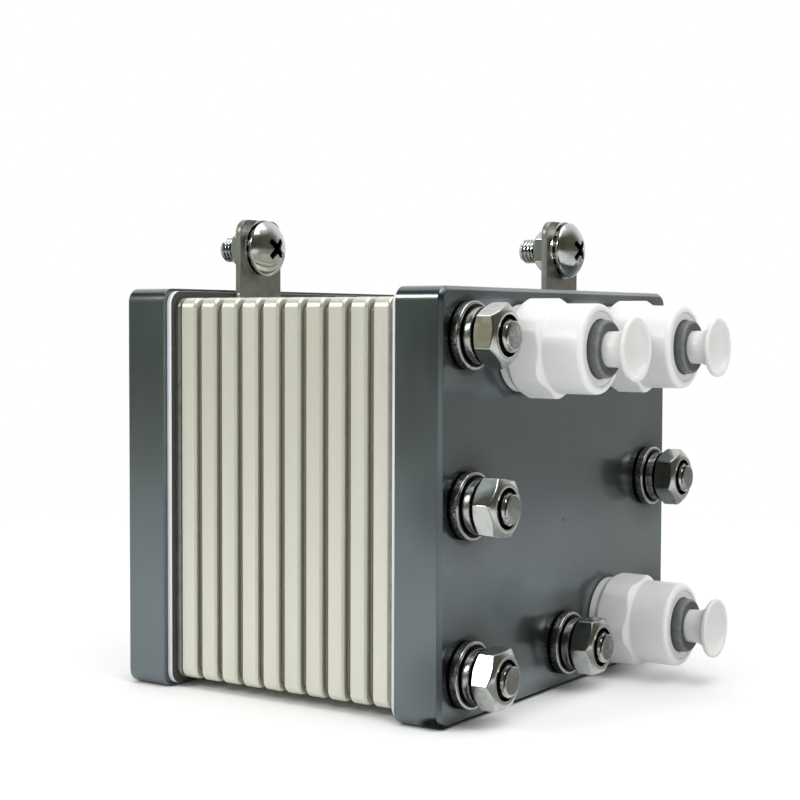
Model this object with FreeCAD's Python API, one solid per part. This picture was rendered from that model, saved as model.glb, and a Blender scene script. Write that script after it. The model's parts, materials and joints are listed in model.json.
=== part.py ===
import FreeCAD, Part
import math
import os
from FreeCAD import Vector

# A small PEM electrolyser stack. All sizes are in millimetres.
# X runs along the stack and points out of the port side, Y across the plates, Z up.
# The origin is on the floor, under the middle of the whole outline at rest.

# The stack, from the outer face of one end plate to the outer face of the other
stack_length = 71.45

# Points closer than this are one and the same
same_place = 1e-6

# End plates: two thick metal slabs that clamp the stack
plate_width = 89.0
plate_height = 76.0
end_plate_thickness = 9.4
end_plate_corner_radius = 2.6
end_plate_chamfer = 0.7

# Insulating sheets between the end plates and the terminal plates
sheet_thickness = 1.2
sheet_side_inset = 1.0
sheet_edge_inset = 0.5
sheet_corner_radius = 2.6

# Flow plates, the light bars on the side of the stack: they fill the length that the rest leaves
cell_count = 9
flow_plate_side_inset = 2.1
flow_plate_edge_inset = 1.8
flow_plate_corner_radius = 2.0
flow_plate_edge_break = 0.4

# Flow field milled into the faces of the flow plates
channel_width = 2.0
channel_rib = 2.0
channel_depth = 0.8
manifold_radius = 4.0
manifold_link_width = 4.0
blind_pocket_depth = 1.8
seal_land = 3.0

# What lies between two flow plates
gasket_thickness = 0.55
gasket_recess = 0.9
membrane_thickness = 0.15
diffuser_gap = 0.2

# Terminal plates with a tab that stands up for the lead
terminal_thickness = 1.25
tab_width = 12.9
tab_corner_radius = 2.8
tab_foot_radius = 1.4
tab_above_screw = 5.7
tab_hole_clearance = 0.2

# Tie bolts: a ring of them clamps the stack, with no bolt in the middle
bolt_edge_distance = 8.5
bolt_radius = 3.0
bolt_end_chamfer = 0.6
bolt_protrusion = 1.2
bolt_clearance = 0.3
bolt_head_radius = 5.0
bolt_head_height = 4.0
bolt_head_round = 0.4
bolt_socket_width = 4.0
bolt_socket_depth = 2.4
counterbore_clearance = 0.5
counterbore_spare_depth = 0.2
sleeve_wall = 0.7
sleeve_bore_clearance = 0.1
sleeve_hole_clearance = 0.2
thread_clearance = 0.05

# Washers and nuts of the tie bolts
flat_washer_radius = 6.0
flat_washer_thickness = 1.8
flat_washer_round = 0.25
washer_bore_clearance = 0.2
spring_washer_radius = 4.95
spring_washer_thickness = 1.9
spring_washer_split = 0.7
spring_washer_slant = 25.0
nut_across_flats = 10.0
nut_height = 4.7
nut_chamfer_angle = 30.0
nut_countersink = 0.45

# Screws, washers and nuts of the terminals
screw_radius = 2.5
screw_shank_radius = 2.24
screw_head_radius = 5.5
screw_head_rim = 0.6
screw_head_height = 3.1
screw_end_chamfer = 0.5
screw_free_end = 4.05
screw_thread_gap = 0.2
cross_recess_span = 4.6
cross_recess_floor = 2.3
cross_recess_width = 1.5
cross_recess_depth = 1.7
cross_recess_turn = 42.0
lead_washer_radius = 5.7
lead_washer_thickness = 0.8
lead_washer_rise = 2.6
lock_washer_radius = 4.7
lock_washer_thickness = 0.5
lock_washer_teeth = 12
lock_washer_notch_radius = 0.6
lead_nut_across_flats = 8.0
lead_nut_height = 3.6
lead_nut_turn = 30.0

# Tube ports: a push-in fitting each, with its release ring and a plug
port_edge_distance = 10.9
tube_radius = 3.175
tube_clearance = 0.075
tube_stop = 2.0
port_thread_radius = 4.9
port_thread_spare = 1.4
port_flow_radius = 2.4
port_base_length = 1.45
port_base_step = 0.15
port_collar_length = 7.5
port_collar_back_bevel = 1.3
port_collar_front_bevel = 1.0
port_collar_corner_rise = 0.95
port_collar_flat_rise = 0.35
port_rim_round = 0.8
port_rim_wall = 1.4
face_seal_section = 1.4
face_seal_space = 0.3
tube_seal_section = 1.75
tube_seal_squeeze = 0.05
tube_seal_start = 5.2
tube_seal_space = 0.45

# White bush in each fitting, which holds the release ring in
cap_wall = 0.7
cap_back_wall = 1.0
cap_lip_length = 2.65
cap_lip_round = 0.2
cap_press_clearance = 0.02
cap_recess = 0.15

# Release ring: its front stands out of the cap, and it slides back to let the tube go
ring_wall = 1.9
ring_bore_clearance = 0.08
ring_back_space = 1.8
ring_tail = 1.9
ring_barb_height = 0.4
ring_barb_length = 1.6
ring_barb_play = 0.1
ring_barb_space = 0.3
ring_slot_width = 0.8
ring_slot_count = 4
ring_slot_turn = 45.0
ring_reach = 1.75
ring_front_round = 0.6
ring_inner_round = 0.3

# Plug in the place of a tube
plug_stop_gap = 0.4
plug_end_round = 0.9
plug_neck_length = 1.85
plug_neck_round = 0.8
plug_cup_length = 3.45
plug_cup_radius = 5.65
plug_cup_wall = 0.8
plug_cup_corner = 0.8
plug_cup_round = 0.4
plug_mouth_round = 0.2

# The turn of each nut about its own axis, in degrees, by the bolt's column and row
nut_turns = {
    (-1, -1): -4.0,
    (0, -1): 0.0,
    (1, -1): 25.0,
    (-1, 0): 8.4,
    (1, 0): 37.0,
    (-1, 1): 37.5,
    (0, 1): 12.0,
    (1, 1): -8.0,
}

# Where the split of each spring washer stands, in degrees, by the same bolts
split_turns = {
    (-1, -1): -38.0,
    (0, -1): 150.0,
    (1, -1): 205.0,
    (-1, 0): 160.0,
    (1, 0): 195.0,
    (-1, 1): 140.0,
    (0, 1): 215.0,
    (1, 1): 170.0,
}

# Sizes of the fittings from the inside out: the tube, the release ring, the cap, the barrel
port_bore_radius = tube_radius + tube_clearance
ring_outer_radius = port_bore_radius + ring_wall
ring_barb_radius = ring_outer_radius + ring_barb_height
cap_lip_radius = ring_outer_radius + ring_bore_clearance
cap_cavity_radius = cap_lip_radius + ring_barb_height + ring_barb_space
cap_outer_radius = cap_cavity_radius + cap_wall
cap_bore_radius = cap_outer_radius + cap_press_clearance
port_barrel_radius = cap_bore_radius + port_rim_wall
port_base_radius = port_barrel_radius - port_base_step
port_collar_radius = port_barrel_radius + port_collar_corner_rise
port_collar_across_flats = 2 * (port_barrel_radius + port_collar_flat_rise)

# Lengths of the fittings from the end plate outwards
port_thread_length = end_plate_thickness - port_thread_spare
port_collar_end = port_base_length + port_collar_length
port_collar_middle = (port_base_length + port_collar_end) / 2
cap_back = tube_seal_start + tube_seal_section + tube_seal_space
ring_tail_start = cap_back + cap_back_wall + ring_back_space
ring_barb_start = ring_tail_start + ring_tail
ring_barb_end = ring_barb_start + ring_barb_length
cap_lip_start = ring_barb_end + ring_barb_play
cap_front = cap_lip_start + cap_lip_length
port_length = cap_front + cap_recess
ring_front = port_length + ring_reach
plug_neck_end = ring_front + plug_neck_length
plug_reach = plug_neck_end + plug_cup_length

# Stations along X, worked out from the length and the thicknesses
flow_plate_count = cell_count + 1
gap_thickness = 2 * gasket_thickness + membrane_thickness
cells_length = stack_length - 2 * (end_plate_thickness + sheet_thickness + terminal_thickness)
flow_plate_thickness = (cells_length - cell_count * gap_thickness) / flow_plate_count
port_face_x = (stack_length - plug_reach) / 2
rear_face_x = port_face_x - stack_length
port_inner_x = port_face_x - end_plate_thickness
rear_inner_x = rear_face_x + end_plate_thickness
port_terminal_x = port_inner_x - sheet_thickness - terminal_thickness
rear_terminal_x = rear_inner_x + sheet_thickness
cells_start_x = rear_terminal_x + terminal_thickness
cell_pitch = flow_plate_thickness + gap_thickness
bolt_seat_x = rear_face_x + bolt_head_height + counterbore_spare_depth
spring_washer_x = port_face_x + flat_washer_thickness
tie_nut_x = spring_washer_x + spring_washer_thickness
bolt_end_x = tie_nut_x + nut_height + bolt_protrusion

# Places across the plates
middle_z = plate_height / 2
bolt_y = plate_width / 2 - bolt_edge_distance
bolt_rise = plate_height / 2 - bolt_edge_distance
port_y = bolt_y / 2
port_rise = plate_height / 2 - port_edge_distance
tab_y = port_y
tab_hole_z = plate_height + lead_washer_rise + lead_washer_radius
tab_top_z = tab_hole_z + tab_above_screw

# Holes and the window of the active area
bolt_hole_radius = bolt_radius + bolt_clearance
washer_hole_radius = bolt_radius + washer_bore_clearance
lead_washer_hole_radius = screw_radius + washer_bore_clearance
tab_hole_radius = screw_radius + tab_hole_clearance
port_hole_radius = port_thread_radius + thread_clearance
counterbore_radius = bolt_head_radius + counterbore_clearance
sleeve_inner_radius = bolt_radius + sleeve_bore_clearance
sleeve_outer_radius = sleeve_inner_radius + sleeve_wall
sleeve_hole_radius = sleeve_outer_radius + sleeve_hole_clearance
window_half_width = bolt_y - sleeve_hole_radius - seal_land
window_half_height = port_rise - manifold_radius - seal_land

# A port's place by its side and its height: the lower near corner has none
port_places = {
    "near_top": (-port_y, middle_z + port_rise),
    "far_top": (port_y, middle_z + port_rise),
    "far_bottom": (port_y, middle_z - port_rise),
}

# The turn of each fitting's collar, in degrees
collar_turns = {"near_top": 30.0, "far_top": 30.0, "far_bottom": -3.0}


def along_x(shape, x, y, z):
    """Move a piece made about the X axis to its place."""
    return shape.translated(Vector(x, y, z))


def rounded_loop(corners):
    """Closed wire through corners, each a point with the radius that rounds it."""
    arrivals = []
    departures = []
    middles = []
    for index, (point, radius) in enumerate(corners):
        before = corners[index - 1][0]
        after = corners[(index + 1) % len(corners)][0]
        back = (before - point).normalize()
        ahead = (after - point).normalize()
        half_angle = back.getAngle(ahead) / 2
        reach = radius / math.tan(half_angle)
        arrivals.append(point + back * reach)
        departures.append(point + ahead * reach)
        inward = (back + ahead).normalize() if radius > 0 else back
        middles.append(point + inward * (radius / math.sin(half_angle) - radius))
    edges = []
    for index, (point, radius) in enumerate(corners):
        following = (index + 1) % len(corners)
        if radius > 0:
            arc = Part.Arc(arrivals[index], middles[index], departures[index])
            edges.append(arc.toShape())
        if departures[index].distanceToPoint(arrivals[following]) > same_place:
            line = Part.LineSegment(departures[index], arrivals[following])
            edges.append(line.toShape())
    return Part.Wire(edges)


def turned(corners):
    """Solid turned about the X axis from corners given as (x, radius, rounding)."""
    points = [(Vector(x, radius, 0), rounding) for x, radius, rounding in corners]
    face = Part.Face(rounded_loop(points))
    return face.revolve(Vector(0, 0, 0), Vector(1, 0, 0), 360)


def rectangle_corners(x, side_inset, edge_inset, radius):
    """Corners of an upright outline, inset from the outline of the end plates."""
    half_width = plate_width / 2 - side_inset
    bottom = edge_inset
    top = plate_height - edge_inset
    return [
        (Vector(x, -half_width, bottom), radius),
        (Vector(x, half_width, bottom), radius),
        (Vector(x, half_width, top), radius),
        (Vector(x, -half_width, top), radius),
    ]


def drills(x, depth, holes):
    """Round cutters that start at x, for holes given as (y, z, radius)."""
    return [Part.makeCylinder(radius, depth, Vector(x, y, z), Vector(1, 0, 0)) for y, z, radius in holes]


def sheet_from(x, corners, thickness, holes):
    """Flat sheet from an outline, with round holes given as (y, z, radius)."""
    blank = Part.Face(rounded_loop(corners)).extrude(Vector(thickness, 0, 0))
    return blank.cut(drills(x, thickness, holes)) if holes else blank


def slab(x, thickness, corners, chamfer, broken_faces):
    """Solid slab with its outer edges broken at the faces given by their place along X."""
    block = Part.Face(rounded_loop(corners)).extrude(Vector(thickness, 0, 0))
    rims = []
    for edge in block.Edges:
        reach = edge.BoundBox
        at_faces = [abs(reach.Center.x - face_x) < same_place for face_x in broken_faces]
        if reach.XLength < same_place and any(at_faces):
            rims.append(edge)
    return block.makeChamfer(chamfer, rims)


def hexagon_prism(x, length, across_flats, turn):
    """Six-sided prism about the X axis, with a corner at the given turn from -Y."""
    corner_radius = across_flats / math.sqrt(3)
    points = []
    for step in range(7):
        angle = math.radians(turn + 60 * step)
        points.append(Vector(x, -corner_radius * math.cos(angle), corner_radius * math.sin(angle)))
    return Part.Face(Part.makePolygon(points)).extrude(Vector(length, 0, 0))


def bolt_places():
    """The bolts by column and row, -1 to 1 each, with their place on the plate."""
    places = {}
    for column in (-1, 0, 1):
        for row in (-1, 0, 1):
            if (column, row) != (0, 0):
                places[(column, row)] = (column * bolt_y, middle_z + row * bolt_rise)
    return places


def bolt_holes(radius):
    """Round holes for all tie bolts, as (y, z, radius)."""
    return [(y, z, radius) for y, z in bolt_places().values()]


def manifold_places():
    """The four channels that run through the cells: one behind each port, and a fourth."""
    return [(side * port_y, middle_z + level * port_rise) for side in (-1, 1) for level in (-1, 1)]


def manifold_holes(places):
    """Round holes for the given manifolds, as (y, z, radius)."""
    return [(y, z, manifold_radius) for y, z in places]


def port_end_plate():
    """End plate with clearance holes for the bolts and a threaded hole for each port."""
    corners = rectangle_corners(port_inner_x, 0, 0, end_plate_corner_radius)
    plate = slab(port_inner_x, end_plate_thickness, corners, end_plate_chamfer, [port_face_x])
    holes = bolt_holes(bolt_hole_radius)
    holes += [(y, z, port_hole_radius) for y, z in port_places.values()]
    return plate.cut(drills(port_inner_x, end_plate_thickness, holes))


def rear_end_plate():
    """End plate with counterbores that sink the bolt heads."""
    corners = rectangle_corners(rear_face_x, 0, 0, end_plate_corner_radius)
    plate = slab(rear_face_x, end_plate_thickness, corners, end_plate_chamfer, [rear_face_x])
    tools = drills(rear_face_x, end_plate_thickness, bolt_holes(bolt_hole_radius))
    tools += drills(rear_face_x, bolt_seat_x - rear_face_x, bolt_holes(counterbore_radius))
    return plate.cut(tools)


def insulating_sheet(x, manifolds):
    """White sheet that keeps the current out of an end plate."""
    corners = rectangle_corners(x, sheet_side_inset, sheet_edge_inset, sheet_corner_radius)
    holes = bolt_holes(sleeve_hole_radius) + manifold_holes(manifolds)
    return sheet_from(x, corners, sheet_thickness, holes)


def terminal_plate(x, tab_side, manifolds):
    """Metal sheet that gathers the current, cut in one with its upright tab."""
    low_left, low_right, top_right, top_left = rectangle_corners(
        x, flow_plate_side_inset, flow_plate_edge_inset, flow_plate_corner_radius)
    shoulder_z = top_right[0].z
    left = tab_side * tab_y - tab_width / 2
    right = tab_side * tab_y + tab_width / 2
    tab = [
        (Vector(x, right, shoulder_z), tab_foot_radius),
        (Vector(x, right, tab_top_z), tab_corner_radius),
        (Vector(x, left, tab_top_z), tab_corner_radius),
        (Vector(x, left, shoulder_z), tab_foot_radius),
    ]
    corners = [low_left, low_right, top_right] + tab + [top_left]
    holes = bolt_holes(sleeve_hole_radius) + manifold_holes(manifolds)
    holes.append((tab_side * tab_y, tab_hole_z, tab_hole_radius))
    return sheet_from(x, corners, terminal_thickness, holes)


def flow_field(face_x, inward, rising_side):
    """Milling for one face: upright channels, two headers and a link to each manifold."""
    start_x = min(face_x, face_x + inward * channel_depth)
    bottom = middle_z - window_half_height
    top = middle_z + window_half_height
    pitch = channel_width + channel_rib
    count = int((2 * window_half_width - channel_width) // pitch) + 1
    field_width = (count - 1) * pitch + channel_width
    first_y = -field_width / 2
    link_length = port_rise - window_half_height
    cuts = []
    for index in range(count):
        corner = Vector(start_x, first_y + index * pitch, bottom)
        cuts.append(Part.makeBox(channel_depth, channel_width, top - bottom, corner))
    for header_z in (bottom, top - channel_width):
        corner = Vector(start_x, first_y, header_z)
        cuts.append(Part.makeBox(channel_depth, field_width, channel_width, corner))
    for level, link_z in ((-1, bottom - link_length), (1, top)):
        corner = Vector(start_x, level * rising_side * port_y - manifold_link_width / 2, link_z)
        cuts.append(Part.makeBox(channel_depth, manifold_link_width, link_length, corner))
    return cuts


def flow_plate(x, anode_face, cathode_face):
    """Plate between two cells, with a flow field on each face that meets a cell."""
    corners = rectangle_corners(x, flow_plate_side_inset, flow_plate_edge_inset, flow_plate_corner_radius)
    faces = [x, x + flow_plate_thickness]
    plate = slab(x, flow_plate_thickness, corners, flow_plate_edge_break, faces)
    cuts = drills(x, flow_plate_thickness, bolt_holes(sleeve_hole_radius))
    for place in manifold_places():
        goes_through = cathode_face and (anode_face or place in port_places.values())
        depth = flow_plate_thickness if goes_through else blind_pocket_depth
        start = x if cathode_face else x + flow_plate_thickness - depth
        cuts += drills(start, depth, manifold_holes([place]))
    if anode_face:
        cuts += flow_field(x + flow_plate_thickness, -1, -1)
    if cathode_face:
        cuts += flow_field(x, 1, 1)
    return plate.cut(cuts)


def window_corners(x, gap):
    """Corners of the active area, a little smaller by the gap."""
    half_width = window_half_width - gap
    half_height = window_half_height - gap
    return [
        (Vector(x, -half_width, middle_z - half_height), 0),
        (Vector(x, half_width, middle_z - half_height), 0),
        (Vector(x, half_width, middle_z + half_height), 0),
        (Vector(x, -half_width, middle_z + half_height), 0),
    ]


def cell_layer(x, thickness):
    """Sheet of a cell, set back from the flow plates, with a hole for each sleeve and manifold."""
    side_inset = flow_plate_side_inset + gasket_recess
    edge_inset = flow_plate_edge_inset + gasket_recess
    corners = rectangle_corners(x, side_inset, edge_inset, flow_plate_corner_radius)
    holes = bolt_holes(sleeve_hole_radius) + manifold_holes(manifold_places())
    return sheet_from(x, corners, thickness, holes)


def cell_gasket(x):
    """Soft frame that seals round the active area and every hole."""
    window = sheet_from(x, window_corners(x, 0), gasket_thickness, [])
    return cell_layer(x, gasket_thickness).cut(window)


def membrane(x):
    """Thin membrane, clamped between the two gaskets of its cell."""
    return cell_layer(x, membrane_thickness)


def diffuser(x):
    """Porous sheet that fills the gasket's window."""
    return sheet_from(x, window_corners(x, diffuser_gap), gasket_thickness, [])


def cell_stations():
    """Where each cell begins: at the front face of the flow plate behind it."""
    first = cells_start_x + flow_plate_thickness
    return [first + index * cell_pitch for index in range(cell_count)]


def tie_bolt(y, z):
    """Long bolt with a low socket head, from the rear counterbore to past its nut."""
    head_x = bolt_seat_x - bolt_head_height
    bolt = turned([
        (head_x, 0, 0),
        (head_x, bolt_head_radius, bolt_head_round),
        (bolt_seat_x, bolt_head_radius, 0),
        (bolt_seat_x, bolt_radius, 0),
        (bolt_end_x - bolt_end_chamfer, bolt_radius, 0),
        (bolt_end_x, bolt_radius - bolt_end_chamfer, 0),
        (bolt_end_x, 0, 0),
    ])
    socket = hexagon_prism(head_x, bolt_socket_depth, bolt_socket_width, 0)
    return along_x(bolt.cut(socket), 0, y, z)


def insulating_sleeve(y, z):
    """Plastic tube that keeps a bolt clear of the live plates."""
    tube = turned([
        (rear_inner_x, sleeve_inner_radius, 0),
        (port_inner_x, sleeve_inner_radius, 0),
        (port_inner_x, sleeve_outer_radius, 0),
        (rear_inner_x, sleeve_outer_radius, 0),
    ])
    return along_x(tube, 0, y, z)


def plain_washer(x, thickness, inner_radius, outer_radius, rounding):
    """Flat ring about the X axis."""
    return turned([
        (x, inner_radius, 0),
        (x, outer_radius, rounding),
        (x + thickness, outer_radius, rounding),
        (x + thickness, inner_radius, 0),
    ])


def flat_washer(y, z):
    """Washer that spreads a nut's load on the port end plate."""
    ring = plain_washer(
        port_face_x, flat_washer_thickness, washer_hole_radius, flat_washer_radius, flat_washer_round)
    return along_x(ring, 0, y, z)


def spring_washer(y, z, turn):
    """Split ring, pressed flat under the nut, with its slanted split."""
    ring = plain_washer(
        spring_washer_x, spring_washer_thickness, washer_hole_radius, spring_washer_radius, 0)
    length = 2 * spring_washer_thickness
    corner = Vector(-length / 2, -spring_washer_radius - spring_washer_split, -spring_washer_split / 2)
    split = Part.makeBox(length, spring_washer_radius, spring_washer_split, corner)
    split.rotate(Vector(0, 0, 0), Vector(0, 1, 0), spring_washer_slant)
    split.translate(Vector(spring_washer_x + spring_washer_thickness / 2, 0, 0))
    split.rotate(Vector(0, 0, 0), Vector(1, 0, 0), -turn)
    return along_x(ring.cut(split), 0, y, z)


def hex_nut(x, height, across_flats, thread_radius, turn):
    """Hexagon nut about the X axis, with chamfered corners and a countersunk thread."""
    corner_radius = across_flats / math.sqrt(3)
    flat_radius = across_flats / 2
    chamfer = (corner_radius - flat_radius) * math.tan(math.radians(nut_chamfer_angle))
    bore = thread_radius + thread_clearance
    blank = turned([
        (x, bore + nut_countersink, 0),
        (x, flat_radius, 0),
        (x + chamfer, corner_radius, 0),
        (x + height - chamfer, corner_radius, 0),
        (x + height, flat_radius, 0),
        (x + height, bore + nut_countersink, 0),
        (x + height - nut_countersink, bore, 0),
        (x + nut_countersink, bore, 0),
    ])
    return blank.common(hexagon_prism(x, height, across_flats, turn))


def tie_nut(y, z, turn):
    """Nut of a tie bolt."""
    return along_x(hex_nut(tie_nut_x, nut_height, nut_across_flats, bolt_radius, turn), 0, y, z)


def terminal_screw(tab_front_x):
    """Screw with a domed head, a cross recess, a slimmer shank and a free thread behind its nut."""
    seat = tab_front_x + lead_washer_thickness + lock_washer_thickness
    nut_end = tab_front_x - terminal_thickness - lead_nut_height
    thread_start = nut_end - screw_thread_gap
    end = nut_end - screw_free_end
    top = seat + screw_head_height
    rim = seat + screw_head_rim
    rise = top - rim
    dome_radius = (screw_head_radius ** 2 + rise ** 2) / (2 * rise)
    half_angle = math.asin(screw_head_radius / dome_radius) / 2
    middle = Vector(top - dome_radius * (1 - math.cos(half_angle)), dome_radius * math.sin(half_angle), 0)
    outline = [
        (end, 0),
        (end, screw_radius - screw_end_chamfer),
        (end + screw_end_chamfer, screw_radius),
        (thread_start, screw_radius),
        (thread_start, screw_shank_radius),
        (seat, screw_shank_radius),
        (seat, screw_head_radius),
        (rim, screw_head_radius),
    ]
    points = [Vector(x, radius, 0) for x, radius in outline]
    edges = [Part.LineSegment(a, b).toShape() for a, b in zip(points, points[1:])]
    edges.append(Part.Arc(points[-1], middle, Vector(top, 0, 0)).toShape())
    edges.append(Part.LineSegment(Vector(top, 0, 0), points[0]).toShape())
    screw = Part.Face(Part.Wire(edges)).revolve(Vector(0, 0, 0), Vector(1, 0, 0), 360)
    for turn in (cross_recess_turn, cross_recess_turn + 90):
        wing = cross_wing(top)
        wing.rotate(Vector(0, 0, 0), Vector(1, 0, 0), turn)
        screw = screw.cut(wing)
    return screw


def cross_wing(top):
    """One bar of the cross recess, narrower at its floor than at the head's surface."""
    half_span = cross_recess_span / 2
    floor_half = cross_recess_floor / 2
    half_width = cross_recess_width / 2
    floor_x = top - cross_recess_depth
    profile = [
        (Vector(floor_x, -half_width, -floor_half), 0),
        (Vector(floor_x, -half_width, floor_half), 0),
        (Vector(top, -half_width, half_span), 0),
        (Vector(top, -half_width, -half_span), 0),
    ]
    return Part.Face(rounded_loop(profile)).extrude(Vector(0, cross_recess_width, 0))


def lead_washer(tab_front_x):
    """Plain washer against a tab."""
    return plain_washer(
        tab_front_x, lead_washer_thickness, lead_washer_hole_radius, lead_washer_radius, 0)


def lock_washer(tab_front_x):
    """Toothed washer under a screw's head."""
    x = tab_front_x + lead_washer_thickness
    ring = plain_washer(x, lock_washer_thickness, lead_washer_hole_radius, lock_washer_radius, 0)
    notches = []
    for step in range(lock_washer_teeth):
        angle = 2 * math.pi * step / lock_washer_teeth
        y = lock_washer_radius * math.cos(angle)
        z = lock_washer_radius * math.sin(angle)
        notches.append((y, z, lock_washer_notch_radius))
    return ring.cut(drills(x, lock_washer_thickness, notches))


def lead_nut(tab_front_x):
    """Nut behind a tab."""
    x = tab_front_x - terminal_thickness - lead_nut_height
    return hex_nut(x, lead_nut_height, lead_nut_across_flats, screw_shank_radius, lead_nut_turn)


def port_fitting(turn):
    """Moulded body: threaded shank, six-sided collar and round barrel, bored for its inner parts."""
    seal_radius = tube_radius + tube_seal_squeeze + tube_seal_section
    seal_groove = port_thread_radius + face_seal_section + 2 * face_seal_space
    core = turned([
        (-port_thread_length, port_flow_radius, 0),
        (-port_thread_length, port_thread_radius, 0),
        (face_seal_section, port_thread_radius, 0),
        (face_seal_section, seal_groove, 0),
        (0, seal_groove, 0),
        (0, port_base_radius, 0),
        (port_collar_middle, port_base_radius, 0),
        (port_collar_middle, port_barrel_radius, 0),
        (port_length, port_barrel_radius, port_rim_round),
        (port_length, cap_bore_radius, 0),
        (cap_back, cap_bore_radius, 0),
        (cap_back, seal_radius, 0),
        (tube_seal_start, seal_radius, 0),
        (tube_seal_start, port_bore_radius, 0),
        (tube_stop, port_bore_radius, 0),
        (tube_stop, port_flow_radius, 0),
    ])
    inside = (cap_bore_radius + port_base_radius) / 2
    blank = turned([
        (port_base_length, inside, 0),
        (port_base_length, port_base_radius, 0),
        (port_base_length + port_collar_back_bevel, port_collar_radius, 0),
        (port_collar_end - port_collar_front_bevel, port_collar_radius, 0),
        (port_collar_end, port_barrel_radius, 0),
        (port_collar_end, inside, 0),
    ])
    hexagon = hexagon_prism(port_base_length, port_collar_length, port_collar_across_flats, turn)
    return core.fuse(blank.common(hexagon)).removeSplitter()


def port_cap():
    """White bush pressed into the barrel: it backs the tube seal and holds the release ring in."""
    return turned([
        (cap_back, port_bore_radius, 0),
        (cap_back, cap_outer_radius, 0),
        (cap_front, cap_outer_radius, 0),
        (cap_front, cap_lip_radius, cap_lip_round),
        (cap_lip_start, cap_lip_radius, 0),
        (cap_lip_start, cap_cavity_radius, 0),
        (cap_back + cap_back_wall, cap_cavity_radius, 0),
        (cap_back + cap_back_wall, port_bore_radius, 0),
    ])


def release_ring():
    """A slotted sleeve with a barb inside the cap and a thick front edge to press on."""
    ring = turned([
        (ring_tail_start, port_bore_radius, 0),
        (ring_tail_start, ring_outer_radius, 0),
        (ring_barb_start, ring_barb_radius, 0),
        (ring_barb_end, ring_barb_radius, 0),
        (ring_barb_end, ring_outer_radius, 0),
        (ring_front, ring_outer_radius, ring_front_round),
        (ring_front, port_bore_radius, ring_inner_round),
    ])
    slots = []
    for step in range(ring_slot_count):
        corner = Vector(ring_tail_start, -ring_slot_width / 2, 0)
        slot = Part.makeBox(ring_barb_end - ring_tail_start, ring_slot_width, 2 * ring_barb_radius, corner)
        slot.rotate(Vector(0, 0, 0), Vector(1, 0, 0), ring_slot_turn + 360 * step / ring_slot_count)
        slots.append(slot)
    return ring.cut(slots)


def tube_plug():
    """Stopper in the place of a tube: a round stem with a flared hollow cup to pull on."""
    tip = tube_stop + plug_stop_gap
    floor_x = plug_neck_end + plug_cup_wall
    return turned([
        (tip, 0, 0),
        (tip, tube_radius, plug_end_round),
        (plug_neck_end, tube_radius, plug_neck_round),
        (plug_reach - plug_cup_corner, plug_cup_radius, plug_cup_round),
        (plug_reach, plug_cup_radius, plug_mouth_round),
        (plug_reach, plug_cup_radius - plug_cup_wall, plug_mouth_round),
        (floor_x, tube_radius, 0),
        (floor_x, 0, 0),
    ])


def seal_ring(x, inner_radius, section):
    """Round-section sealing ring about the X axis."""
    ring = Part.makeTorus(inner_radius + section / 2, section / 2, Vector(0, 0, 0), Vector(1, 0, 0))
    return ring.translated(Vector(x + section / 2, 0, 0))


def face_seal():
    """Ring in the groove under a fitting, against the end plate."""
    return seal_ring(0, port_thread_radius + face_seal_space, face_seal_section)


def tube_seal():
    """Ring round the tube or the plug, deep in a fitting."""
    start = tube_seal_start + tube_seal_space / 2
    return seal_ring(start, tube_radius + tube_seal_squeeze, tube_seal_section)


def save(node, pieces):
    """Write one node's solids to its own file."""
    solids = []
    for piece in pieces:
        solids += piece.Solids
    shape = solids[0] if len(solids) == 1 else Part.makeCompound(solids)
    if not shape.isValid():
        raise ValueError("bad solid in " + node)
    shape.exportStep("parts/" + node + ".step")


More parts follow.
